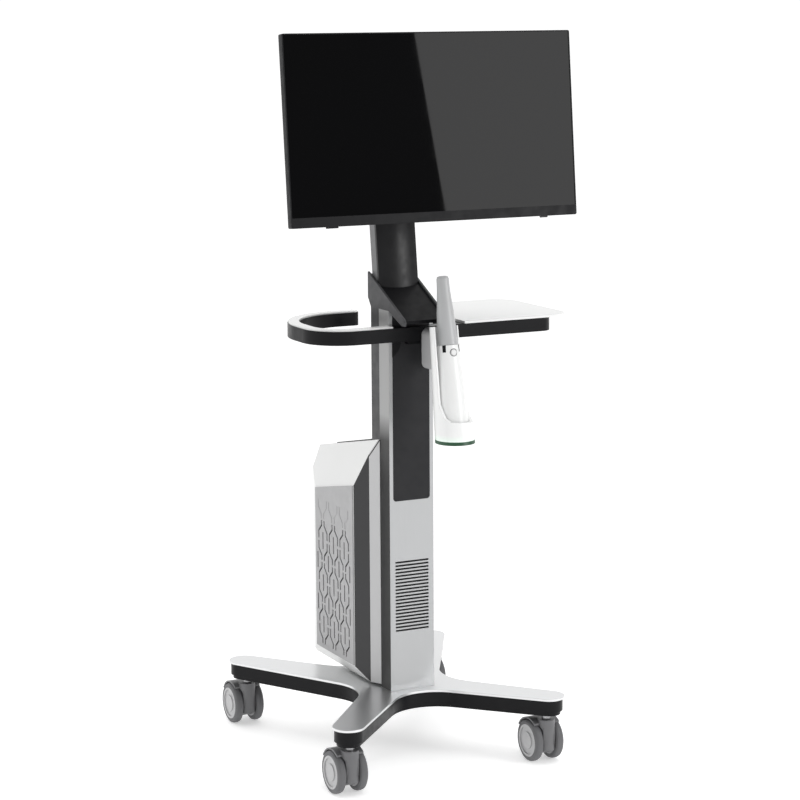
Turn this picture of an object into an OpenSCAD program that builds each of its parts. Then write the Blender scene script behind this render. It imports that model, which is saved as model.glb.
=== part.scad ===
// Mobile dental imaging station: a wheeled four-leg base, a column with a
// computer housing, a handle ring, a tray, a sloped console, a monitor on a
// swivel and tilt head, and a handheld intraoral camera in its cradle.
// Millimetres, +Z up, the front of the station faces -Y.

/* [Base] */
// half the distance between the left and right caster stems
stem_x = 192; // [150:1:240]
// distance of the front caster stems ahead of the column's datum
stem_front = 202; // [150:1:260]
// distance of the rear caster stems behind the datum
stem_rear = 252; // [180:1:320]
// height of the top face of the base over the rim's datum
base_top = 114; // [100:1:140]
// how much the deep rim lifts all that stands on it
rise = 9; // [0:1:20]
// thickness of the base's top plate
plate_t = 4; // [2:0.5:8]
// radius of the rounded leg ends
leg_r = 28; // [20:1:40]

/* [Casters] */
// wheel diameter
wheel_d = 75; // [50:1:100]
// width of each of a caster's two wheels
wheel_w = 15; // [10:1:25]
// distance the wheels trail behind the stem
trail = 20; // [8:1:30]
// half the width across both wheels
caster_hw = 28; // [25:1:40]
// radial running clearance of axles, stems and pins
run = 0.05; // [0.02:0.01:0.1]

/* [Column] */
// half the width of the column
col_hw = 43; // [30:1:60]
// depth of the front extrusion
col_front_d = 38; // [20:1:60]
// depth of the rear channel
col_rear_d = 32; // [20:1:60]
// height of the column's top
col_top = 796; // [700:1:900]
// number of ventilation slots
slot_n = 21; // [10:1:30]
// distance from slot to slot
slot_pitch = 6.2; // [4:0.1:10]

/* [Housing] */
// half the width of the computer housing
hous_hw = 75.5; // [60:0.5:100]
// how far the housing reaches back
hous_back = 232; // [180:1:280]
// height of the housing's front top edge
hous_top = 564; // [450:1:640]
// fall of the housing's top towards the back, degrees
hous_fall = 11.4; // [0:0.1:20]

/* [Handle and tray] */
// top height of the handle ring
ring_z = 768; // [700:1:820]
// height of the ring's bar
ring_h = 24; // [15:1:40]
// depth of the ring's bar
ring_w = 22; // [15:1:35]
// right edge of the tray
tray_x = 314; // [250:1:400]
// back edge of the tray
tray_y = 172; // [100:1:220]

/* [Monitor] */
// width of the monitor
mon_w = 540; // [450:1:620]
// height of the monitor
mon_h = 317.4; // [260:0.1:380]
// backward lean of the monitor at rest, degrees
mon_tilt = 5.46; // [0:0.1:15]
// height of the monitor's lower edge
mon_z = 958; // [880:1:1040]

/* [Handpiece] */
// backward lean of the handpiece in its cradle, degrees
wand_tilt = 9; // [0:0.1:20]
// length of the handpiece's body
wand_body_l = 155; // [120:1:200]
// length of the removable tip
wand_tip_l = 118.6; // [80:0.1:150]
// radius of the handpiece at its lower end
wand_r = 25.8; // [20:0.1:30]

/* [Hidden] */
$fn = 64;
e = 0.01;
shift_x = -22;      // puts the middle of the outside box over the origin
shift_y = -45.75;
wheel_r = wheel_d / 2;
col_y0 = -58;                       // column's front face
col_y1 = col_y0 + col_front_d;      // joint between extrusion and channel
col_y2 = col_y1 + col_rear_d;       // back of the channel
ring_y0 = col_y0 - ring_w;          // ring's front face
stems = [[-stem_x, -stem_front], [stem_x, -stem_front],
         [-stem_x, stem_rear], [stem_x, stem_rear]];
mon_y = -165;                       // monitor's lower front edge
tilt_l = [56, 160];                 // tilt pin in the monitor's own frame: depth, height
tilt_y = mon_y + tilt_l[0] * cos(mon_tilt) + tilt_l[1] * sin(mon_tilt);
tilt_z = mon_z + tilt_l[1] * cos(mon_tilt) - tilt_l[0] * sin(mon_tilt);
swiv_y = 28;                        // swivel axis
neck_lean = 6.9;
neck_foot = [0, -20, 842];
wand_foot = [26.1, -173, 590.2];
wand_side = -0.2;                     // sideways lean of the handpiece

silver = [0.82, 0.83, 0.84];
white = [0.93, 0.93, 0.92];
dark = [0.12, 0.12, 0.13];
grey = [0.5, 0.5, 0.5];
steel = [0.7, 0.7, 0.72];

module place() { translate([shift_x, shift_y, rise]) children(); }
module place_low() { translate([shift_x, shift_y, 0]) children(); }
module both() { children(); mirror([1, 0, 0]) children(); }
// a prism along X from a depth and height outline
module side_prism(x0, x1, pts) {
  translate([x0, 0, 0]) rotate([90, 0, 90]) linear_extrude(x1 - x0) polygon(pts);
}

// ---------- base ----------
function unit(v) = v / norm(v);
// arc of radius r in the notch between two legs: [centre, start, end]
function web(apex, p1, p2, r) = let(
    d1 = unit(p1 - apex), d2 = unit(p2 - apex),
    half = acos(d1 * d2) / 2, t = r / tan(half))
  [apex + unit(d1 + d2) * r / sin(half), apex + d1 * t, apex + d2 * t];
function mx(p) = [-p[0], p[1]];
// plan of the four-leg base, drawn in by the given margin
module star(m = 0) {
  r = leg_r - m;
  af = [0, -44 + 1.43 * m];
  ar = [0, 57 - 1.6 * m];
  as = [71.6 - 1.2 * m, -16];
  cf = [stem_x + 3, -stem_front - 3];
  cr = [stem_x + 3, stem_rear + 3];
  f1 = cf - [0.74, 0.672] * r;
  f2 = cf + [0.74, 0.672] * r;
  r1 = cr + [0.828, -0.56] * r;
  r2 = cr - [0.828, -0.56] * r;
  wf = web(af, f1, mx(f1), 77 + m);
  wr = web(ar, r2, mx(r2), 100 + m);
  ws = web(as, f2, r1, 90 + m);
  difference() {
    union() {
      polygon([wf[1], f1, f2, ws[1], ws[2], r1, r2, wr[1], wr[2], mx(r2), mx(r1),
               mx(ws[2]), mx(ws[1]), mx(f2), mx(f1), wf[2]]);
      both() {
        translate(cf) circle(r + 0.05);
        translate(cr) circle(r + 0.05);
      }
    }
    translate(wf[0]) circle(77.05 + m, $fn = 96);
    translate(wr[0]) circle(100.05 + m, $fn = 96);
    both() translate(ws[0]) circle(90.05 + m, $fn = 96);
  }
}
module bolt_spots() { for (x = [-30, 30], y = [-48, 2]) translate([x, y, 0]) children(); }
module base_plate() color(silver) difference() {
  translate([0, 0, base_top - plate_t]) linear_extrude(plate_t) star();
  bolt_spots() translate([0, 0, 90]) cylinder(r = 3.2, h = 40, $fn = 32);
}
module base_rim() color(dark) difference() {
  union() {
    translate([0, 0, 97 - rise]) linear_extrude(13 + rise) star(3);
    translate([0, 0, 90 - rise]) linear_extrude(7) star(7);
  }
  difference() {
    translate([0, 0, 89 - rise]) linear_extrude(17 + rise) star(15);
    for (s = stems) translate([s[0], s[1], 70]) cylinder(r = 16, h = 50);
  }
  for (s = stems) translate([s[0], s[1], 70]) cylinder(r = 5.5, h = 37, $fn = 48);
  bolt_spots() translate([0, 0, 100]) cylinder(r = 3.2, h = 40, $fn = 32);
}
module base_ballast() color(grey) difference() {
  translate([-52, 0, 92 - rise]) cube([104, 70, 14 + rise]);
  bolt_spots() translate([0, 0, 75]) cylinder(r = 7, h = 40, $fn = 32);
}
module caster_stems() color(steel) for (s = stems) translate([s[0], s[1], 0]) {
  translate([0, 0, 60 - rise]) cylinder(r = 5.5, h = 47 + rise, $fn = 48);
  translate([0, 0, 80.4 - rise]) cylinder(r = 8, h = 9.6, $fn = 48);
}

// ---------- column ----------
module column_extrusion() color(silver) difference() {
  translate([-col_hw, col_y0, base_top]) cube([2 * col_hw, col_front_d, col_top - base_top]);
  translate([-col_hw + 4, col_y0 + 4, base_top + 8])
    cube([2 * col_hw - 8, col_front_d - 8, col_top - base_top]);
  // shallow recess of the dark inlay
  translate([0, col_y0 - 1, 0]) inlay_face(3, col_top + 10);
  for (i = [0:slot_n - 1]) translate([-32.6, col_y0 - 1, 222 + i * slot_pitch])
    cube([65.2, 6, 3.1]);
  bolt_spots() translate([0, 0, 100]) cylinder(r = 3.2, h = 40, $fn = 32);
}
module column_channel() color(dark) difference() {
  translate([-col_hw, col_y1, base_top]) cube([2 * col_hw, col_rear_d, col_top - base_top]);
  translate([-col_hw + 3, col_y1 - 1, base_top + 8])
    cube([2 * col_hw - 6, col_rear_d - 2, col_top - base_top]);
  bolt_spots() translate([0, 0, 100]) cylinder(r = 3.2, h = 40, $fn = 32);
}
// the inlay's outline, round at its lower corners
module inlay_face(d, h) translate([0, d, 0]) rotate([90, 0, 0]) linear_extrude(d) {
  translate([-36, 464]) square([72, h - 464]);
  translate([-30, 458]) square([60, 7]);
  for (s = [-30, 30]) translate([s, 464]) circle(6);
}
module column_inlay() color(dark) translate([0, col_y0, 0]) inlay_face(2, col_top);
module vent_mesh() color(dark)
  translate([-35, col_y0 + 4, 216]) cube([70, 1, 138]);
module column_bolts() color(steel) bolt_spots() {
  translate([0, 0, 101]) cylinder(r = 3, h = 25, $fn = 32);
  translate([0, 0, 100]) cylinder(r = 5.5, h = 6, $fn = 6);
}

// ---------- console ----------
console_side = [[24, 857], [-118, 787], [-121, 782], [-118, 776], [-108, 776],
                [-58, 796], [12, 796], [24, 812]];
deck_side = [[24, 853], [-115, 784.5], [-115, 779], [-108, 779], [-58, 796], [11, 796], [24, 815]];
module console_cheeks() color(grey) both() side_prism(col_hw - 4, col_hw, console_side);
module console_body() color(dark) difference() {
  side_prism(-col_hw + 4, col_hw - 4, deck_side);
  side_prism(-col_hw + 7, col_hw - 7, [[18, 843], [-90, 790], [-58, 803], [8, 803], [18, 820]]);
  // pocket for the neck's post
  neck() translate([-20, 12, -90]) cube([40, 14, 120]);
}
// ---------- neck ----------
module neck() { translate(neck_foot) rotate([-neck_lean, 0, 0]) children(); }
module deck_block() side_prism(-60, 60, [[24, 853], [-115, 784.5], [-115, 700], [24, 700]]);
module neck_front_cover() color(dark) difference() {
  neck() {
    translate([0, 0, -60]) linear_extrude(300) difference() {
      intersection() {
        translate([0, 94]) circle(94, $fn = 128);
        translate([-38, 0]) square([76, 14]);
      }
      intersection() {
        translate([0, 94]) circle(91, $fn = 128);
        translate([-35, 3]) square([70, 12]);
      }
    }
    translate([-35, 5, 237]) cube([70, 6.8, 3]);
  }
  translate([0, swiv_y, 1067]) cylinder(r = 13.4, h = 53);
  deck_block();
}
module neck_rear_cover() color(grey) difference() {
  neck() difference() {
    translate([-37, 14, -60]) cube([74, 22, 300]);
    translate([-34.5, 13, -70]) cube([69, 20.5, 307]);
    translate([-20.4, 11, 200]) cube([40.8, 15.4, 60]);
  }
  translate([0, swiv_y, 1067]) cylinder(r = 13.4, h = 53);
  deck_block();
  translate([-60, 24, 700]) cube([120, 60, 153]);
}
module neck_post() color(steel) difference() {
  union() {
    neck() translate([-20, 12, -45]) cube([40, 14, 290]);
    translate([0, swiv_y, 1068]) cylinder(r = 13, h = 23.6);
    translate([0, swiv_y, 1068]) cylinder(r = 10, h = 62);
    neck() difference() {
      translate([-34.5, 14, 60]) cube([69, 19.5, 6]);
      translate([-30, 27, 50]) cube([60, 4, 30]);
    }
  }
  translate([-60, -100, 700]) cube([120, 200, 96]);
}

// ---------- handle ring and tray ----------
// plan of the handle: open at its rear right, drawn in by the given margin
module ring_path(m = 0) {
  w = ring_w - 2 * m;
  r = w / 2;
  yc = ring_y0 + ring_w / 2;
  // front bar
  translate([-114, yc - r]) square([364, w]);
  // front right corner and the free end under the tray
  translate([250, ring_y0 + 26]) intersection() {
    difference() { circle(26 - m, $fn = 96); circle(26 - ring_w + m, $fn = 96); }
    translate([0, -100]) square([100, 100]);
  }
  translate([276 - ring_w + m, ring_y0 + 26]) square([w, 108]);
  translate([276 - ring_w / 2, ring_y0 + 134]) circle(r);
  // front left corner
  translate([-114, ring_y0 + 70]) intersection() {
    difference() { circle(70 - m, $fn = 96); circle(70 - ring_w + m, $fn = 96); }
    translate([-100, -100]) square([100, 100]);
  }
  translate([-184 + m, ring_y0 + 70]) square([w, 37]);
  // rear left corner and the free end behind
  translate([-42, ring_y0 + 107]) intersection() {
    difference() { circle(142 - m, $fn = 128); circle(142 - ring_w + m, $fn = 128); }
    translate([-200, 0]) square([200, 200]);
  }
  translate([-42, ring_y0 + 107 + 131 - r]) square([31, w]);
  translate([-11, ring_y0 + 107 + 131]) circle(r);
}
module handle_ring() color(dark)
  translate([0, 0, ring_z - ring_h]) linear_extrude(ring_h) ring_path();
module ring_trim() color(white) difference() {
  translate([0, 0, ring_z]) linear_extrude(3) ring_path(1.5);
  translate([-44, ring_y0 - 1, ring_z - 1]) cube([340, 30, 10]);
  translate([94, ring_y0 - 1, ring_z - 1]) cube([200, 240, 10]);
}
module tray_plate() color(white) translate([0, 0, ring_z]) linear_extrude(4) {
  translate([95, ring_y0]) square([tray_x - 95 - 45, tray_y - ring_y0]);
  translate([95, ring_y0 + 45]) square([tray_x - 95, tray_y - ring_y0 - 90]);
  translate([tray_x - 45, ring_y0 + 45]) circle(45);
  translate([tray_x - 45, tray_y - 45]) circle(45);
}
module tray_bracket() color(grey) {
  translate([col_hw, col_y1 - 8, ring_z - 16]) cube([254 - col_hw, 30, 16]);
}
module cable_tab() color(dark) {
  // rounded lug beside the tab
  translate([0, col_y0, ring_z - ring_h]) rotate([90, 0, 0]) linear_extrude(2) intersection() {
    translate([-36, -40]) square([40, 40]);
    translate([-54, 0]) circle(34);
  }
  translate([-11, col_y0 - 12, ring_z - ring_h - 7]) cube([24, 12, 7]);
}

// ---------- computer housing ----------
module housing_plan(m = 0) polygon([
  [-43.2 - 3 * m, col_y2 + 0.2 + m], [-43.2 - 3 * m, -20 + 7 * m], [-54.5 + 0.1 * m, 1 + m],
  [-hous_hw + m, 22 + 0.4 * m], [-hous_hw + m, 187], [-60.5 + m, hous_back - m],
  [60.5 - m, hous_back - m], [hous_hw - m, 187], [hous_hw - m, 22 + 0.4 * m],
  [54.5 - 0.1 * m, 1 + m], [43.2 + 3 * m, -20 + 7 * m], [43.2 + 3 * m, col_y2 + 0.2 + m]]);
// the housing's outside, drawn in by the given margin
module housing_solid(m = 0) difference() {
  translate([0, 0, 118 + m]) linear_extrude(460) housing_plan(m);
  translate([0, -20, hous_top - m]) rotate([-hous_fall, 0, 0]) translate([-200, -80, 0])
    cube([400, 450, 200]);
  both() {
    translate([45 - m, -20, hous_top - m]) rotate([-hous_fall, 0, 0]) rotate([0, 68.5, 0])
      translate([-80, -80, 0]) cube([300, 450, 160]);
    translate([54.5 - m, 0, 118 + m]) rotate([0, -51.3, 0]) translate([-60, -80, -100])
      cube([200, 450, 100]);
  }
}
module housing_shell() color(white) difference() {
  housing_solid();
  housing_solid(2.5);
  // openings behind the side vents, the rear cover and the inlet
  translate([-100, 33, 150]) cube([200, 146, 280]);
  translate([-50, 200, 170]) cube([100, 60, 250]);
  translate([-44, 200, 128]) cube([28, 60, 22]);
}
vent_out = [[24, 146], [185, 146], [185, 444], [24, 476]];
// one quarter of a linked ring: half a neck, a slope and half a side
module ring_slot() polygon([[3.5, 37.5], [3.5, 27.5], [16, 16], [16, 2.5],
  [20, 2.5], [20, 17], [7.5, 29], [7.5, 37.5]]);
module side_vent() difference() {
  side_prism(hous_hw, hous_hw + 2, vent_out);
  translate([hous_hw - 1, 0, 0]) rotate([90, 0, 90]) linear_extrude(4) {
    for (i = [0:2], j = [0:2]) translate([60 + 46 * j, 192 + 79 * i]) {
      for (u = [0, 1], v = [0, 1]) mirror([u, 0]) mirror([0, v]) ring_slot();
      translate([-2, -15.5]) square([4, 31]);
    }
    for (i = [0:1], j = [0:3]) translate([35 + 46 * j, 216.5 + 79 * i]) square([4, 30]);
  }
  // shallow grooves that fade out the pattern above
  translate([hous_hw + 1.5, 0, 0]) rotate([90, 0, 90]) linear_extrude(4)
    for (j = [0:2]) translate([60 + 46 * j, 429]) for (u = [0, 1])
      mirror([u, 0]) mirror([0, 1]) ring_slot();
}
module side_vent_right() color(grey) side_vent();
module side_vent_left() color(grey) mirror([1, 0, 0]) side_vent();
module housing_back_cover() color(dark) difference() {
  translate([-54, hous_back, 166]) cube([108, 2, 258]);
  for (i = [0:8]) translate([-36, hous_back - 1, 200 + 10 * i]) cube([72, 4, 4]);
  translate([30, hous_back + 4, 400]) rotate([90, 0, 0]) cylinder(r = 6 + run, h = 8);
}
module computer_chassis() color(steel) translate([-48, 30, 120.5]) cube([96, 180, 270]);
module mains_inlet() color(dark) difference() {
  union() {
    translate([-43.8, 216, 128.2]) cube([27.6, 16, 21.6]);
    translate([-46, hous_back, 126]) cube([32, 2, 26]);
  }
  translate([-41, 220, 131]) cube([22, 20, 16]);
}
module power_button() color(silver) translate([30, hous_back + 3.5, 400]) rotate([90, 0, 0]) {
  cylinder(r = 6, h = 6);
  translate([0, 0, 4]) cylinder(r = 8, h = 2);
}

// ---------- cradle and handpiece ----------
module wand_frame() { translate(wand_foot) rotate([-wand_tilt, wand_side, 0]) children(); }
cradle_z = wand_foot[2] - 12.1;       // level underside of the cradle
module cradle_outer() wand_frame()
  translate([0, 1, -20]) cylinder(r1 = 34.6, r2 = 28.8, h = 208, $fn = 96);
module cradle_above(z, h) translate([-100, -320, z]) cube([300, 300, h]);
module cradle_body() color(white) difference() {
  intersection() { cradle_outer(); cradle_above(cradle_z + 6, 300); }
  wand_frame() {
    translate([0, 0, -0.4]) cylinder(r = wand_r + 0.8, h = 220, $fn = 96);
    // open front, turned a little to the right
    rotate([0, 0, 18]) side_prism(-45, 45, [[1, 230], [1, 56], [-4.5, 42], [-9, 31],
      [-16.5, 24], [-30, 21], [-60, 20], [-60, 230]]);
  }
}
module cradle_light_ring() color(dark) intersection() {
  cradle_outer();
  cradle_above(cradle_z, 6);
}
module cradle_bracket() color(grey) difference() {
  translate([26, -140, 694]) slab(32, 140 + ring_y0, 72, 12);
  cradle_outer();
}
body_rt = 19;
tip_rt = 10.8;
button_z = wand_body_l - 13;
module wand_body() color(white) wand_frame() difference() {
  rotate_extrude($fn = 96) polygon([[0, 0], [20, 0], [23.6, 1.6], [wand_r, 6], [wand_r, 46],
    [24.4, 88], [21.8, 122], [body_rt, wand_body_l], [0, wand_body_l]]);
  rotate_extrude($fn = 96) polygon([[0, 2.4], [19, 2.4], [23, 6], [23.4, 46], [22, 88],
    [19.4, 122], [body_rt - 2.4, wand_body_l + 0.1], [0, wand_body_l + 0.1]]);
  translate([0, 0, button_z]) rotate([90, 0, 0]) cylinder(r = 5 + run, h = 40, $fn = 48);
  // the two dark windows beside the button
  for (s = [-1, 1]) rotate([0, 0, s * 48]) translate([-3.3, -30, wand_body_l - 12])
    cube([6.6, 20, 12.2]);
}
module wand_core() color(dark) wand_frame() {
  translate([0, 0, 2.4]) cylinder(r = 10, h = wand_body_l - 2.4, $fn = 64);
  translate([0, 0, wand_body_l - 5]) cylinder(r = 16, h = 4.6, $fn = 64);
  translate([0, 0, wand_body_l - 1]) cylinder(r = 6.5, h = wand_tip_l - 21, $fn = 64);
  for (s = [-1, 1]) rotate([0, 0, s * 48]) translate([-3.2, -18.4, wand_body_l - 11.9])
    cube([6.4, 11, 11.6]);
}
module wand_tip() color(grey) wand_frame() translate([0, 0, wand_body_l + 0.4]) difference() {
  rotate_extrude($fn = 96) polygon([[0, 0], [18.4, 0], [14.8, 56], [12.6, 80], [11.1, 100],
    [tip_rt, wand_tip_l - 5], [tip_rt - 1.5, wand_tip_l - 1.4], [tip_rt - 5, wand_tip_l],
    [0, wand_tip_l]]);
  rotate_extrude($fn = 96) polygon([[0, -1], [16.4, -1], [12.8, 56], [10.6, 80], [9.1, 100],
    [tip_rt - 2, wand_tip_l - 6], [0, wand_tip_l - 6]]);
  translate([-6, 3, wand_tip_l - 26]) cube([12, 20, 16]);
}
module wand_button() color(grey) wand_frame() translate([0, -16.4, button_z])
  rotate([90, 0, 0]) cylinder(r = 5, h = 4.8, $fn = 48);

// ---------- monitor ----------
module swivel_head() color(dark) difference() {
  union() {
    translate([0, swiv_y, 1092]) cylinder(r = 21, h = 34);
    translate([-12, tilt_y, 1100]) cube([24, swiv_y - tilt_y - 8, 24]);
    translate([-12, tilt_y, tilt_z]) rotate([0, 90, 0]) cylinder(r = 12, h = 24);
  }
  translate([0, swiv_y, 1080]) cylinder(r = 10 + run, h = 60);
  translate([-20, tilt_y, tilt_z]) rotate([0, 90, 0]) cylinder(r = 5, h = 40);
}
module tilt_pin() color(steel)
  translate([-32, tilt_y, tilt_z]) rotate([0, 90, 0]) cylinder(r = 5, h = 64);
module mon() { translate([0, mon_y, mon_z]) rotate([-mon_tilt, 0, 0]) children(); }
module slab(x, y, z, r) rotate([90, 0, 0]) translate([0, 0, -y]) linear_extrude(y) {
  translate([-x / 2 + r, 0]) square([x - 2 * r, z]);
  translate([-x / 2, r]) square([x, z - 2 * r]);
  for (s = [-1, 1], h = [r, z - r]) translate([s * (x / 2 - r), h]) circle(r, $fn = 32);
}
module monitor_bezel() color(dark) mon() {
  difference() {
    slab(mon_w, 7, mon_h, 3);
    translate([-mon_w / 2 + 2, -1, 17]) cube([mon_w - 4, 9, mon_h - 19]);
  }
  // sensor bump under the chin
  translate([-206, 1, -2.6]) cube([21, 5, 2.7]);
}
module screen_panel() color([0.03, 0.03, 0.04]) mon()
  translate([-mon_w / 2 + 2, 0.8, 17]) cube([mon_w - 4, 6.2, mon_h - 19]);
module monitor_back() color(dark) mon() difference() {
  union() {
    translate([0, 7, 0]) slab(mon_w, 7, mon_h, 3);
    translate([-190, 13, 35]) cube([380, 25, 235]);
  }
  translate([-182, 7 - e, 43]) cube([364, 28, 219]);
  translate([200, 6, -1]) cube([18, 5, 4.5]);
}
module monitor_bracket() color(steel) mon() {
  translate([-55, 38, tilt_l[1] - 55]) cube([110, 4, 110]);
  for (s = [-1, 1]) translate([s * 22 - 6, 0, 0]) difference() {
    union() {
      translate([0, 41, tilt_l[1] - 11]) cube([12, tilt_l[0] - 41, 22]);
      translate([0, tilt_l[0], tilt_l[1]]) rotate([0, 90, 0]) cylinder(r = 11, h = 12);
    }
    translate([-5, tilt_l[0], tilt_l[1]]) rotate([0, 90, 0]) cylinder(r = 5 + run, h = 30);
  }
}
module monitor_button() color(grey) mon() translate([202, 7.6, -2.6]) cube([14, 3, 4.2]);

// ---------- casters ----------
// wheel axis at [trail behind the stem, wheel radius up]
module caster_housing() color(grey) difference() {
  union() {
    cylinder_z(15.5, 24, 80, 0);
    translate([-11.5, trail, wheel_r]) rotate([0, 90, 0]) cylinder(r = 26, h = 23);
    translate([-11.5, -15.5 + 4, wheel_r]) cube([23, 20, 28]);
    translate([-10, trail + 20, wheel_r + 4]) cube([20, 14, 10]);
    hood();
  }
  cylinder_z(5.5 + run, 59.6, 81, 0);
  translate([-20, trail, wheel_r]) rotate([0, 90, 0]) cylinder(r = 4 + run, h = 40);
  // slot and bore of the pedal's knuckle
  translate([-6, trail + 26.2, wheel_r]) cube([12, 10, 20]);
  // room for the wheels
  both() translate([12, trail, wheel_r]) rotate([0, 90, 0]) cylinder(r = wheel_r + 1.2, h = 30, $fn = 96);
  translate([-20, trail + 30, wheel_r + 9]) rotate([0, 90, 0]) cylinder(r = 2 + run, h = 40, $fn = 32);
}
module cylinder_z(r, z0, z1, y) translate([0, y, z0]) cylinder(r = r, h = z1 - z0);
module hood() intersection() {
  translate([-25, trail, wheel_r]) rotate([0, 90, 0]) difference() {
    cylinder(r = wheel_r + 4.5, h = 50, $fn = 96);
    translate([0, 0, -1]) cylinder(r = wheel_r + 1.5, h = 56, $fn = 96);
  }
  translate([-30, -2, 58]) cube([60, 60, 40]);
}
module caster_axle() color(steel)
  translate([2 - caster_hw, trail, wheel_r]) rotate([0, 90, 0])
    cylinder(r = 4, h = 2 * caster_hw - 4, $fn = 48);
module wheel_spot() for (s = [-1, 1]) translate([s * (caster_hw - wheel_w / 2), trail, wheel_r])
  rotate([0, 90, 0]) translate([0, 0, -wheel_w / 2]) children();
module caster_tyres() color(grey) wheel_spot() rotate_extrude($fn = 96)
  polygon([[29, 0], [33.5, 0], [36.4, 1.8], [wheel_r, 5], [wheel_r, wheel_w - 5],
    [36.4, wheel_w - 1.8], [33.5, wheel_w], [29, wheel_w]]);
module caster_hubs() color(white) for (s = [-1, 1])
  translate([s * (caster_hw - wheel_w / 2), trail, wheel_r]) rotate([0, s * 90, 0])
  translate([0, 0, -wheel_w / 2]) difference() {
    cylinder(r = 29, h = wheel_w, $fn = 96);
    translate([0, 0, -1]) cylinder(r = 4, h = wheel_w - 1, $fn = 48);
    translate([0, 0, wheel_w - 2]) difference() {
      cylinder(r = 25, h = 4);
      translate([0, 0, -1]) cylinder(r = 15, h = 6);
    }
  }
module caster_pedal() color(dark) {
  translate([-12, trail + 30, wheel_r + 9]) rotate([0, 90, 0]) cylinder(r = 2, h = 24, $fn = 32);
  translate([-5.5, trail + 30, wheel_r + 9]) rotate([0, 90, 0]) cylinder(r = 3.4, h = 11, $fn = 32);
  translate([-5.5, trail + 30, wheel_r + 5.6]) cube([11, 13.5, 4]);
  translate([-15, trail + 42.5, wheel_r + 3]) cube([30, 10, 6.6]);
}
module at_stem(i) { translate([stems[i][0], stems[i][1], 0]) children(); }

place() base_plate();
place() base_rim();
place() base_ballast();
place() caster_stems();
place() column_extrusion();
place() column_channel();
place() column_inlay();
place() vent_mesh();
place() column_bolts();
place() console_body();
place() console_cheeks();
place() neck_front_cover();
place() neck_rear_cover();
place() neck_post();
place() handle_ring();
place() ring_trim();
place() tray_plate();
place() tray_bracket();
place() cable_tab();
place() housing_shell();
place() side_vent_left();
place() side_vent_right();
place() housing_back_cover();
place() computer_chassis();
place() mains_inlet();
place() power_button();
place() cradle_body();
place() cradle_bracket();
place() cradle_light_ring();
place() wand_body();
place() wand_core();
place() wand_tip();
place() wand_button();
place() swivel_head();
place() tilt_pin();
place() monitor_back();
place() monitor_bezel();
place() screen_panel();
place() monitor_bracket();
place() monitor_button();
place_low() at_stem(0) caster_housing();  // caster_fl_housing
place_low() at_stem(0) caster_axle();  // caster_fl_axle
place_low() at_stem(0) caster_tyres();  // caster_fl_tyres
place_low() at_stem(0) caster_hubs();  // caster_fl_hubs
place_low() at_stem(0) caster_pedal();  // caster_fl_pedal
place_low() at_stem(1) caster_housing();  // caster_fr_housing
place_low() at_stem(1) caster_axle();  // caster_fr_axle
place_low() at_stem(1) caster_tyres();  // caster_fr_tyres
place_low() at_stem(1) caster_hubs();  // caster_fr_hubs
place_low() at_stem(1) caster_pedal();  // caster_fr_pedal
place_low() at_stem(2) caster_housing();  // caster_rl_housing
place_low() at_stem(2) caster_axle();  // caster_rl_axle
place_low() at_stem(2) caster_tyres();  // caster_rl_tyres
place_low() at_stem(2) caster_hubs();  // caster_rl_hubs
place_low() at_stem(2) caster_pedal();  // caster_rl_pedal
place_low() at_stem(3) caster_housing();  // caster_rr_housing
place_low() at_stem(3) caster_axle();  // caster_rr_axle
place_low() at_stem(3) caster_tyres();  // caster_rr_tyres
place_low() at_stem(3) caster_hubs();  // caster_rr_hubs
place_low() at_stem(3) caster_pedal();  // caster_rr_pedal
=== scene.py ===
import math
import bpy
import bmesh
from mathutils import Vector, Matrix


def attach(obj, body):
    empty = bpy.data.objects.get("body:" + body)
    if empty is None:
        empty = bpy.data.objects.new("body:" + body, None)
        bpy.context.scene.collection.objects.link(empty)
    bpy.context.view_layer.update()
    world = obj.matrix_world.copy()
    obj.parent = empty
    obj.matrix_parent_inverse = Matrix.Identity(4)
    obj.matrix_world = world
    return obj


# The looks of a mobile dental station: materials, a few added pieces, floor, light and camera.
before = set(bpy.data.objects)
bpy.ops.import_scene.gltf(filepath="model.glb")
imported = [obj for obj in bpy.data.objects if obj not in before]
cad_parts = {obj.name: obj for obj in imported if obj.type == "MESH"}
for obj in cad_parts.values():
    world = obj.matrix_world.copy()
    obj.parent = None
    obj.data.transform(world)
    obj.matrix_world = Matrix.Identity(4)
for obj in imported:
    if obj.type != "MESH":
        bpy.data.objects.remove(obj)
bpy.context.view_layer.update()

MM = 0.001
# the column's datum in the frame, from which the places below are measured in millimetres
DATUM = Vector((-0.022, -0.04575, 0.009))


def place(x, y, z):
    """Millimetres from the column's datum to the frame's metres."""
    return DATUM + Vector((x, y, z)) * MM


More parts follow.
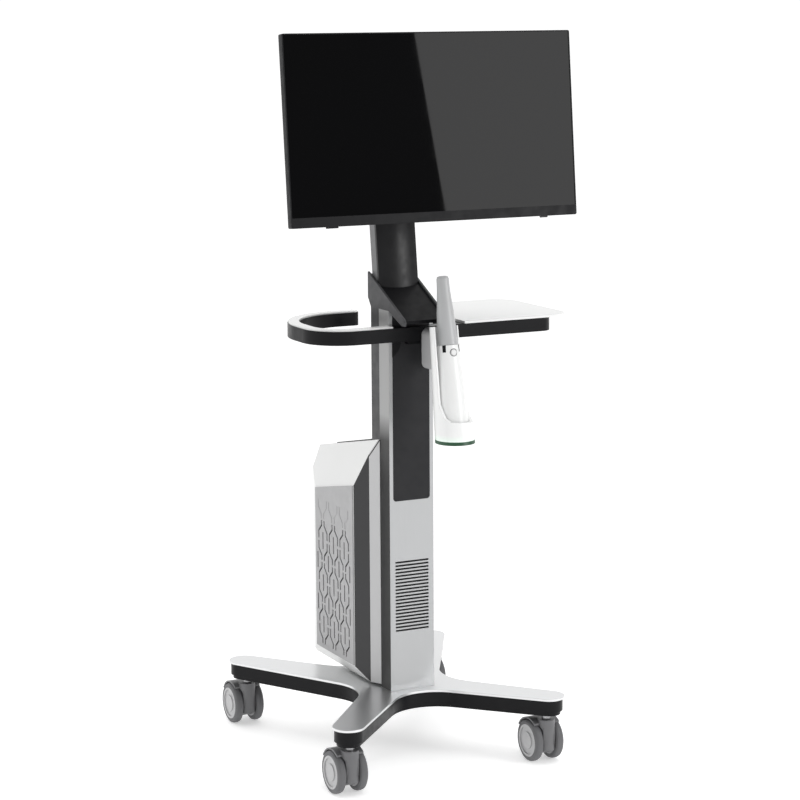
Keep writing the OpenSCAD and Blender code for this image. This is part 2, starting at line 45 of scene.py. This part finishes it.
# ---------------------------------------------------------------- materials
class Mat:
    """A procedural material in object space, built up one property at a time."""

    def __init__(self, name, color, rough=0.4, metal=0.0, **sockets):
        self.m = bpy.data.materials.new(name)
        self.m.use_nodes = True
        self.m.diffuse_color = (*color, 1)
        self.tree = self.m.node_tree
        self.shader = self.tree.nodes["Principled BSDF"]
        self.shader.inputs["Base Color"].default_value = (*color, 1)
        self.shader.inputs["Roughness"].default_value = rough
        self.shader.inputs["Metallic"].default_value = metal
        for socket, value in sockets.items():
            self.shader.inputs[socket.replace("_", " ")].default_value = value
        self.coords = self.node("ShaderNodeTexCoord").outputs["Object"]
        self.color = color
        self.base = None

    def node(self, kind, **props):
        n = self.tree.nodes.new(kind)
        for k, v in props.items():
            setattr(n, k, v)
        return n

    def link(self, a, b):
        self.tree.links.new(a, b)

    def noise(self, scale, detail, stretch=None):
        """Noise over the object, drawn out along an axis by stretch."""
        n = self.node("ShaderNodeTexNoise")
        n.inputs["Scale"].default_value = scale
        n.inputs["Detail"].default_value = detail
        if stretch:
            mapping = self.node("ShaderNodeMapping")
            mapping.inputs["Scale"].default_value = stretch
            self.link(self.coords, mapping.inputs["Vector"])
            self.link(mapping.outputs["Vector"], n.inputs["Vector"])
        else:
            self.link(self.coords, n.inputs["Vector"])
        return n.outputs["Fac"]

    def map_range(self, value, **limits):
        """Maps a value to another range, with limits such as To_Min."""
        r = self.node("ShaderNodeMapRange")
        for k, v in limits.items():
            r.inputs[k.replace("_", " ")].default_value = v
        self.link(value, r.inputs["Value"])
        return r.outputs["Result"]

    def height(self, z0, z1, v0, v1):
        """A value that goes from v0 to v1 between two heights."""
        axes = self.node("ShaderNodeSeparateXYZ")
        self.link(self.coords, axes.inputs["Vector"])
        return self.map_range(axes.outputs["Z"], From_Min=z0, From_Max=z1, To_Min=v0, To_Max=v1)

    def vary(self, scale, spread, stretch=None):
        """Colour drifts a little over the surface."""
        drift = self.map_range(self.noise(scale, 4.0, stretch), To_Min=1 - spread, To_Max=1 + spread)
        tint = self.node("ShaderNodeVectorMath", operation="SCALE")
        tint.inputs[0].default_value = self.color
        self.link(drift, tint.inputs["Scale"])
        self.link(tint.outputs["Vector"], self.shader.inputs["Base Color"])
        self.base = tint.outputs["Vector"]
        return self

    def rough(self, scale, lo, hi, stretch=None):
        """Gloss changes between two roughnesses over the surface."""
        n = self.noise(scale, 3.0, stretch)
        gloss = self.map_range(n, From_Min=0.35, From_Max=0.65, To_Min=lo, To_Max=hi)
        self.link(gloss, self.shader.inputs["Roughness"])
        return self

    def bump(self, scale, dist, strength, stretch=None, edge=0.0006):
        """Fine grain, with edges softened over the radius edge."""
        grain = self.node("ShaderNodeBump")
        grain.inputs["Strength"].default_value = strength
        grain.inputs["Distance"].default_value = dist
        self.link(self.noise(scale, 2.0, stretch), grain.inputs["Height"])
        soft = self.node("ShaderNodeBevel", samples=4)
        soft.inputs["Radius"].default_value = edge
        self.link(soft.outputs["Normal"], grain.inputs["Normal"])
        self.link(grain.outputs["Normal"], self.shader.inputs["Normal"])
        return self

    def shade_by_facing(self, direction, limit, color):
        """Painted shade: another colour on the faces that look one way."""
        surface = self.node("ShaderNodeNewGeometry")
        aim = self.node("ShaderNodeVectorMath", operation="DOT_PRODUCT")
        aim.inputs[1].default_value = direction
        self.link(surface.outputs["True Normal"], aim.inputs[0])
        hit = self.node("ShaderNodeMath", operation="GREATER_THAN")
        hit.inputs[1].default_value = limit
        self.link(aim.outputs["Value"], hit.inputs[0])
        blend = self.node("ShaderNodeMix", data_type="RGBA")
        self.link(hit.outputs["Value"], blend.inputs["Factor"])
        self.link(self.base, blend.inputs["A"])
        if isinstance(color, tuple):
            blend.inputs["B"].default_value = (*color, 1)
        else:
            self.link(color, blend.inputs["B"])
        self.link(blend.outputs["Result"], self.shader.inputs["Base Color"])
        self.base = blend.outputs["Result"]
        return self


def plastic(name, color, rough, grain=900, depth=0.00004, edge=0.0008, drift=0.035, relief=0.25,
            haze=0.18, **sockets):
    """Moulded plastic: fine grain, slight drift of colour and gloss, soft edges."""
    mat = Mat(name, color, rough, **sockets)
    mat.vary(14, drift)
    mat.rough(60, rough * (1 - haze), rough * (1 + haze))
    return mat.bump(grain, depth, relief, edge=edge)


DIM = {"Specular_IOR_Level": 0.22}
SLEEK = {"depth": 0.000002, "drift": 0.010, "relief": 0.02, "haze": 0.03}
WHITE = plastic("white_gloss", (0.80, 0.805, 0.80), 0.25, grain=120, **SLEEK)
TRAY = plastic("tray_white", (0.80, 0.805, 0.80), 0.32, grain=160, **SLEEK)
SHELL = plastic("housing_white", (0.78, 0.785, 0.78), 0.3, grain=140, **SLEEK)
BLACK = plastic("black_satin", (0.006, 0.006, 0.007), 0.34, grain=1400, depth=0.00003,
                Specular_IOR_Level=0.15)
DECK = plastic("deck_black", (0.006, 0.006, 0.007), 0.40, grain=1200, depth=0.00003,
               Specular_IOR_Level=0.08)
BEZEL = plastic("bezel_black", (0.010, 0.010, 0.011), 0.42, grain=1400, depth=0.00002,
                Specular_IOR_Level=0.12)
COVER = plastic("neck_black", (0.013, 0.013, 0.014), 0.34, grain=1400, depth=0.00004, **DIM)
GREY = plastic("mid_grey", (0.055, 0.055, 0.058), 0.38, **DIM)
REAR = plastic("neck_grey", (0.13, 0.13, 0.135), 0.38)
CASTER = plastic("caster_grey", (0.14, 0.14, 0.145), 0.4, grain=1100)
LIGHT = plastic("light_grey", (0.40, 0.40, 0.405), 0.38, grain=1000, relief=0.1)
VENT = plastic("vent_grey", (0.38, 0.38, 0.385), 0.45, grain=1000, relief=0.1)
HUB = plastic("hub_grey", (0.46, 0.46, 0.465), 0.4, grain=800)
TYRE = plastic("tyre_grey", (0.125, 0.125, 0.13), 0.62, grain=600, depth=0.00012)
INLAY = plastic("inlay_black", (0.018, 0.018, 0.020), 0.5, grain=1600, edge=0.0004, **DIM)
CHANNEL = plastic("channel_grey", (0.030, 0.030, 0.032), 0.40, Specular_IOR_Level=0.35)
INNER = plastic("inner_black", (0.006, 0.006, 0.006), 0.7, **DIM)
IRON = plastic("cast_iron", (0.06, 0.06, 0.06), 0.7, grain=400, depth=0.0002)
TIP = plastic("tip_grey", (0.42, 0.425, 0.43), 0.32, grain=150, **SLEEK)
BUTTON = plastic("button_grey", (0.70, 0.70, 0.70), 0.35, relief=0.1)
CRADLE = plastic("cradle_white", (0.86, 0.865, 0.86), 0.25, grain=120, **SLEEK)

# metals: the grain of the extrusion and the steel is drawn out along their length
SILVER = Mat("satin_silver", (0.74, 0.745, 0.75), 0.30, 0.9).vary(5, 0.012)
SILVER.rough(300, 0.28, 0.33).bump(2600, 0.00001, 0.15, edge=0.0012)
ALU = Mat("anodised_silver", (0.42, 0.425, 0.43), 0.34, 0.8).vary(30, 0.015, (8, 8, 0.4))
ALU.rough(90, 0.31, 0.37, (8, 8, 0.3)).bump(900, 0.00001, 0.2, (6, 6, 0.2), edge=0.001)
STEEL = Mat("brushed_steel", (0.42, 0.42, 0.43), 0.3, 1.0).vary(30, 0.02)
STEEL.rough(120, 0.27, 0.34, (1, 1, 8)).bump(300, 0.00001, 0.1, (1, 1, 6))

# painted shade: the column's flanks are painted darker beside the housing than above it, standing in
# for the housing's shade on them
flank_shade_color = ALU.node("ShaderNodeCombineColor")
# the painted shade's level, dark up to the housing's top and lighter above it
flank_shade_level = ALU.height(0.575, 0.62, 0.03, 0.33)
for channel in ("Red", "Green", "Blue"):
    ALU.link(flank_shade_level, flank_shade_color.inputs[channel])
for side in (-1, 1):
    ALU.shade_by_facing((side, 0, 0), 0.97, flank_shade_color.outputs["Color"])
    # the housing's shell: painted shade, a dark stretch on its slanted front and a grey strip beside
    # the column
    SHELL.shade_by_facing((side * 0.7071, -0.7071, 0), 0.94, (0.025, 0.025, 0.027))
    SHELL.shade_by_facing((side * 0.88, -0.48, 0), 0.985, (0.53, 0.53, 0.535))

GLASS = Mat("screen_glass", (0.0012, 0.0012, 0.0015), 0.02, 0.0, Specular_IOR_Level=0.10)
GLASS.vary(3, 0.2).rough(25, 0.016, 0.024)
LED = Mat("cradle_light", (0.010, 0.022, 0.014), 0.35, Emission_Color=(0.03, 0.20, 0.08, 1),
          Emission_Strength=0.25)
LED.vary(30, 0.1).rough(40, 0.3, 0.4)

# painted light: the cradle's shell is made to glow green at its foot, standing in for the light
# ring's glow falling on it
painted_glow = CRADLE.node("ShaderNodeMix", data_type="RGBA")
CRADLE.link(CRADLE.height(0.593, 0.604, 1.0, 0.0), painted_glow.inputs["Factor"])
painted_glow.inputs["A"].default_value = (0, 0, 0, 1)
painted_glow.inputs["B"].default_value = (0.10, 0.45, 0.22, 1)
CRADLE.link(painted_glow.outputs["Result"], CRADLE.shader.inputs["Emission Color"])
# strength of the painted glow on the cradle's shell
CRADLE.shader.inputs["Emission Strength"].default_value = 0.30

FINISH = {
    "base_plate": SILVER, "base_rim": BLACK, "base_ballast": IRON, "caster_stems": STEEL,
    "column_extrusion": ALU, "column_channel": CHANNEL, "column_inlay": INLAY,
    "vent_mesh": INNER, "column_bolts": STEEL, "console_body": DECK, "console_cheeks": GREY,
    "neck_front_cover": COVER, "neck_rear_cover": REAR, "neck_post": STEEL,
    "handle_ring": BLACK, "ring_trim": WHITE, "tray_plate": TRAY, "tray_bracket": BLACK,
    "cable_tab": BLACK, "housing_shell": SHELL, "side_vent_left": VENT,
    "side_vent_right": VENT, "housing_back_cover": CHANNEL, "computer_chassis": INNER,
    "mains_inlet": BLACK, "power_button": ALU, "cradle_body": CRADLE,
    "cradle_bracket": LIGHT, "cradle_light_ring": LED, "wand_body": WHITE,
    "wand_core": BLACK, "wand_tip": TIP, "wand_button": BUTTON, "swivel_head": CHANNEL,
    "tilt_pin": STEEL, "monitor_back": BLACK, "monitor_bezel": BEZEL,
    "screen_panel": GLASS, "monitor_bracket": STEEL, "monitor_button": GREY,
}
CASTER_FINISH = {"housing": CASTER, "axle": STEEL, "tyres": TYRE, "hubs": HUB, "pedal": GREY}
for corner in ("fl", "fr", "rl", "rr"):
    for part, mat in CASTER_FINISH.items():
        FINISH["caster_%s_%s" % (corner, part)] = mat
for name, mat in FINISH.items():
    ob = bpy.data.objects[name]
    for s in ob.material_slots:
        s.material = mat.m
    if not ob.material_slots:
        ob.data.materials.append(mat.m)


# ---------------------------------------------------------------- added pieces
def piece(name, bm, mat, body):
    """Makes a smooth-shaded object of a bmesh and lets it ride on a body."""
    me = bpy.data.meshes.new(name)
    bmesh.ops.recalc_face_normals(bm, faces=bm.faces)
    bm.to_mesh(me)
    bm.free()
    for f in me.polygons:
        f.use_smooth = True
    ob = bpy.data.objects.new(name, me)
    bpy.context.collection.objects.link(ob)
    me.materials.append(mat.m)
    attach(ob, body)
    return ob


def loft(rings, caps=True):
    """A skin over closed rings of points, each ring with the same count."""
    bm = bmesh.new()
    rows = [[bm.verts.new(p) for p in r] for r in rings]
    n = len(rows[0])
    for a, b in zip(rows, rows[1:]):
        for i in range(n):
            bm.faces.new((a[i], a[(i + 1) % n], b[(i + 1) % n], b[i]))
    if caps:
        bm.faces.new(rows[0])
        bm.faces.new(rows[-1])
    return bm


def round_rect(hx, hy, r, steps=6):
    """Outline of a rectangle of half sides hx and hy with corners of radius r."""
    pts = []
    corners = ((hx - r, hy - r), (r - hx, hy - r), (r - hx, r - hy), (hx - r, r - hy))
    for turn, (cx, cy) in enumerate(corners):
        for i in range(steps + 1):
            a = math.radians(90 * (turn + i / steps))
            pts.append((cx + r * math.cos(a), cy + r * math.sin(a)))
    return pts


# millimetres from the column's datum
HOUSING_FRONT_Y = -20
HOUSING_TOP = 564                                   # height of the top at its front edge
HOUSING_FALL = math.tan(math.radians(11.4))         # slope of the top towards the back
PANEL_Y = 94
PANEL_HALF = (40, 80)
PANEL_CORNER = 9
PANEL_SECTION = ((0, -1.0), (0, 1.0), (0.5, 1.6), (1.4, 1.8))       # inset, height over the top


def top_panel():
    """Dark panel let into the housing's sloped top, with a rounded rim."""
    rings = []
    for inset, lift in PANEL_SECTION:
        hx, hy = (half - inset for half in PANEL_HALF)
        ring = []
        for u, v in round_rect(hx, hy, PANEL_CORNER - inset):
            y = PANEL_Y + v
            ring.append(place(u, y, HOUSING_TOP - (y - HOUSING_FRONT_Y) * HOUSING_FALL + lift))
        rings.append(ring)
    piece("housing_top_panel", loft(rings), BLACK, "stand")


# the seam's ends on the right side, its outward direction, and its section as side and outward
SEAM_TOP = (43.4, -20.3, 563.2)
SEAM_FOOT = (54.8, 0.7, 531.6)
SEAM_OUT = (0.88, -0.475, 0)
SEAM_SECTION = ((-0.7, -0.5), (-0.7, 0.15), (-0.4, 0.35), (0.4, 0.35), (0.7, 0.15), (0.7, -0.5))


def seam(name, s):
    """Dark seam where a front strip of the housing meets its top chamfer."""
    a, b = (place(s * x, y, z) for x, y, z in (SEAM_TOP, SEAM_FOOT))
    out = Vector((s * SEAM_OUT[0], SEAM_OUT[1], SEAM_OUT[2])).normalized()
    side = (b - a).normalized().cross(out)
    rings = [[end + (side * i + out * j) * MM for i, j in SEAM_SECTION] for end in (a, b)]
    piece(name, loft(rings), INNER, "stand")


# the handpiece leans back and a little sideways about the middle of its foot
WAND_FOOT = place(26.1, -173, 590.2)
WAND_LEAN = Matrix.Rotation(math.radians(-0.2), 3, "Y") @ Matrix.Rotation(math.radians(-9), 3, "X")
WAND_PROFILE = ((46, 25.8), (88, 24.4), (122, 21.8), (155, 19))     # height, radius
BUTTON_HEIGHT = 142
RING_STEPS = 64
RING_SECTION = ((5.7, -0.3), (5.7, 0.18), (5.95, 0.32), (6.45, 0.32), (6.7, 0.18), (6.7, -0.3))


def wand_radius(z):
    for (z0, r0), (z1, r1) in zip(WAND_PROFILE, WAND_PROFILE[1:]):
        if z <= z1:
            return r0 + (r1 - r0) * (z - z0) / (z1 - z0)
    return WAND_PROFILE[-1][1]


def button_ring():
    """Ring round the handpiece's button, lying on the body's curve."""
    rings = []
    for i in range(RING_STEPS):
        a = 2 * math.pi * i / RING_STEPS
        ring = []
        for r, proud in RING_SECTION:
            x, z = r * math.cos(a), BUTTON_HEIGHT + r * math.sin(a)
            y = -math.sqrt(wand_radius(z) ** 2 - x * x) - proud
            ring.append(WAND_FOOT + WAND_LEAN @ (Vector((x, y, z)) * MM))
        rings.append(ring)
    bm = loft(rings + rings[:1], caps=False)
    bmesh.ops.remove_doubles(bm, verts=bm.verts, dist=0.01 * MM)
    piece("wand_button_ring", bm, GREY, "wand")


top_panel()
seam("housing_seam_left", -1)
seam("housing_seam_right", 1)
button_ring()

# ---------------------------------------------------------------- floor and light
FLOOR_SIZE = 60
FLOOR_GLOW = 0.42
floor_mat = Mat("floor_white", (0.92, 0.92, 0.92), 0.9, Emission_Color=(1, 1, 1, 1),
                Emission_Strength=FLOOR_GLOW)
floor_mat.vary(2, 0.004)
bpy.ops.mesh.primitive_plane_add(size=FLOOR_SIZE, location=(0, 12, 0))
floor = bpy.context.object
floor.name = "floor"
floor.data.materials.append(floor_mat.m)


def studio(front, behind):
    """A bright studio behind the object and a darker one in front of it."""
    world = bpy.data.worlds.new("studio")
    bpy.context.scene.world = world
    world.use_nodes = True
    nodes, links = world.node_tree.nodes, world.node_tree.links
    axes = nodes.new("ShaderNodeSeparateXYZ")
    links.new(nodes.new("ShaderNodeTexCoord").outputs["Generated"], axes.inputs["Vector"])
    shade = nodes.new("ShaderNodeMapRange")
    limits = {"From Min": -0.45, "From Max": 0.55, "To Min": front, "To Max": behind}
    for k, v in limits.items():
        shade.inputs[k].default_value = v
    links.new(axes.outputs["Y"], shade.inputs["Value"])
    # what is seen past the floor is plain white from every side
    seen = nodes.new("ShaderNodeMix")
    links.new(nodes.new("ShaderNodeLightPath").outputs["Is Camera Ray"], seen.inputs["Factor"])
    links.new(shade.outputs["Result"], seen.inputs["A"])
    seen.inputs["B"].default_value = behind
    sky = nodes["Background"]
    sky.inputs["Color"].default_value = (1, 1, 1, 1)
    links.new(seen.outputs["Result"], sky.inputs["Strength"])


def area(name, loc, target, size, power, size_y=None, spin=0.0):
    """A soft square or rectangular light aimed at a point and turned about its aim by spin."""
    d = bpy.data.lights.new(name, "AREA")
    d.energy = power
    d.size = size
    if size_y:
        d.shape = "RECTANGLE"
        d.size_y = size_y
    o = bpy.data.objects.new(name, d)
    bpy.context.collection.objects.link(o)
    o.location = loc
    aim = (Vector(target) - Vector(loc)).to_track_quat("-Z", "Y")
    o.rotation_mode = "QUATERNION"
    o.rotation_quaternion = aim @ Matrix.Rotation(spin, 3, "Z").to_quaternion()


studio(front=0.42, behind=1.05)
# the light at the front right is what the screen's brighter half reflects
area("front_right", (1.805, -2.592, 1.60), (0.1, -0.2, 1.12), 1.1, 34, 1.5, math.radians(3.5))
area("top", (0.3, -0.4, 3.2), (0, 0, 0.4), 2.4, 26)
area("left", (-3.0, 0.2, 1.6), (0, 0, 0.7), 1.8, 8)

# ---------------------------------------------------------------- camera
AZIMUTH, ELEVATION, ROLL = (math.radians(a) for a in (-26.23, 9.64, -0.36))
DISTANCE = 4.16911
TARGET = Vector((-0.01506, -0.04575, 0.63636))
SENSOR = 36
FOCAL_PER_WIDTH = 2351.25 / 800                     # focal length over the picture's width

back = Vector((math.sin(AZIMUTH) * math.cos(ELEVATION), -math.cos(AZIMUTH) * math.cos(ELEVATION),
               math.sin(ELEVATION)))
level = Vector((math.cos(AZIMUTH), math.sin(AZIMUTH), 0))
upright = back.cross(level)
right = level * math.cos(ROLL) + upright * math.sin(ROLL)
up = upright * math.cos(ROLL) - level * math.sin(ROLL)
lens = bpy.data.cameras.new("camera")
lens.sensor_width = SENSOR
lens.lens = FOCAL_PER_WIDTH * SENSOR
lens.clip_start, lens.clip_end = 0.1, 100
camera = bpy.data.objects.new("camera", lens)
bpy.context.collection.objects.link(camera)
turn = Matrix((right, up, back)).transposed().to_4x4()
camera.matrix_world = Matrix.Translation(TARGET + back * DISTANCE) @ turn
bpy.context.scene.camera = camera
bpy.context.scene.view_settings.view_transform = "Standard"

# ---------------------------------------------------------------- update
bpy.context.view_layer.update()
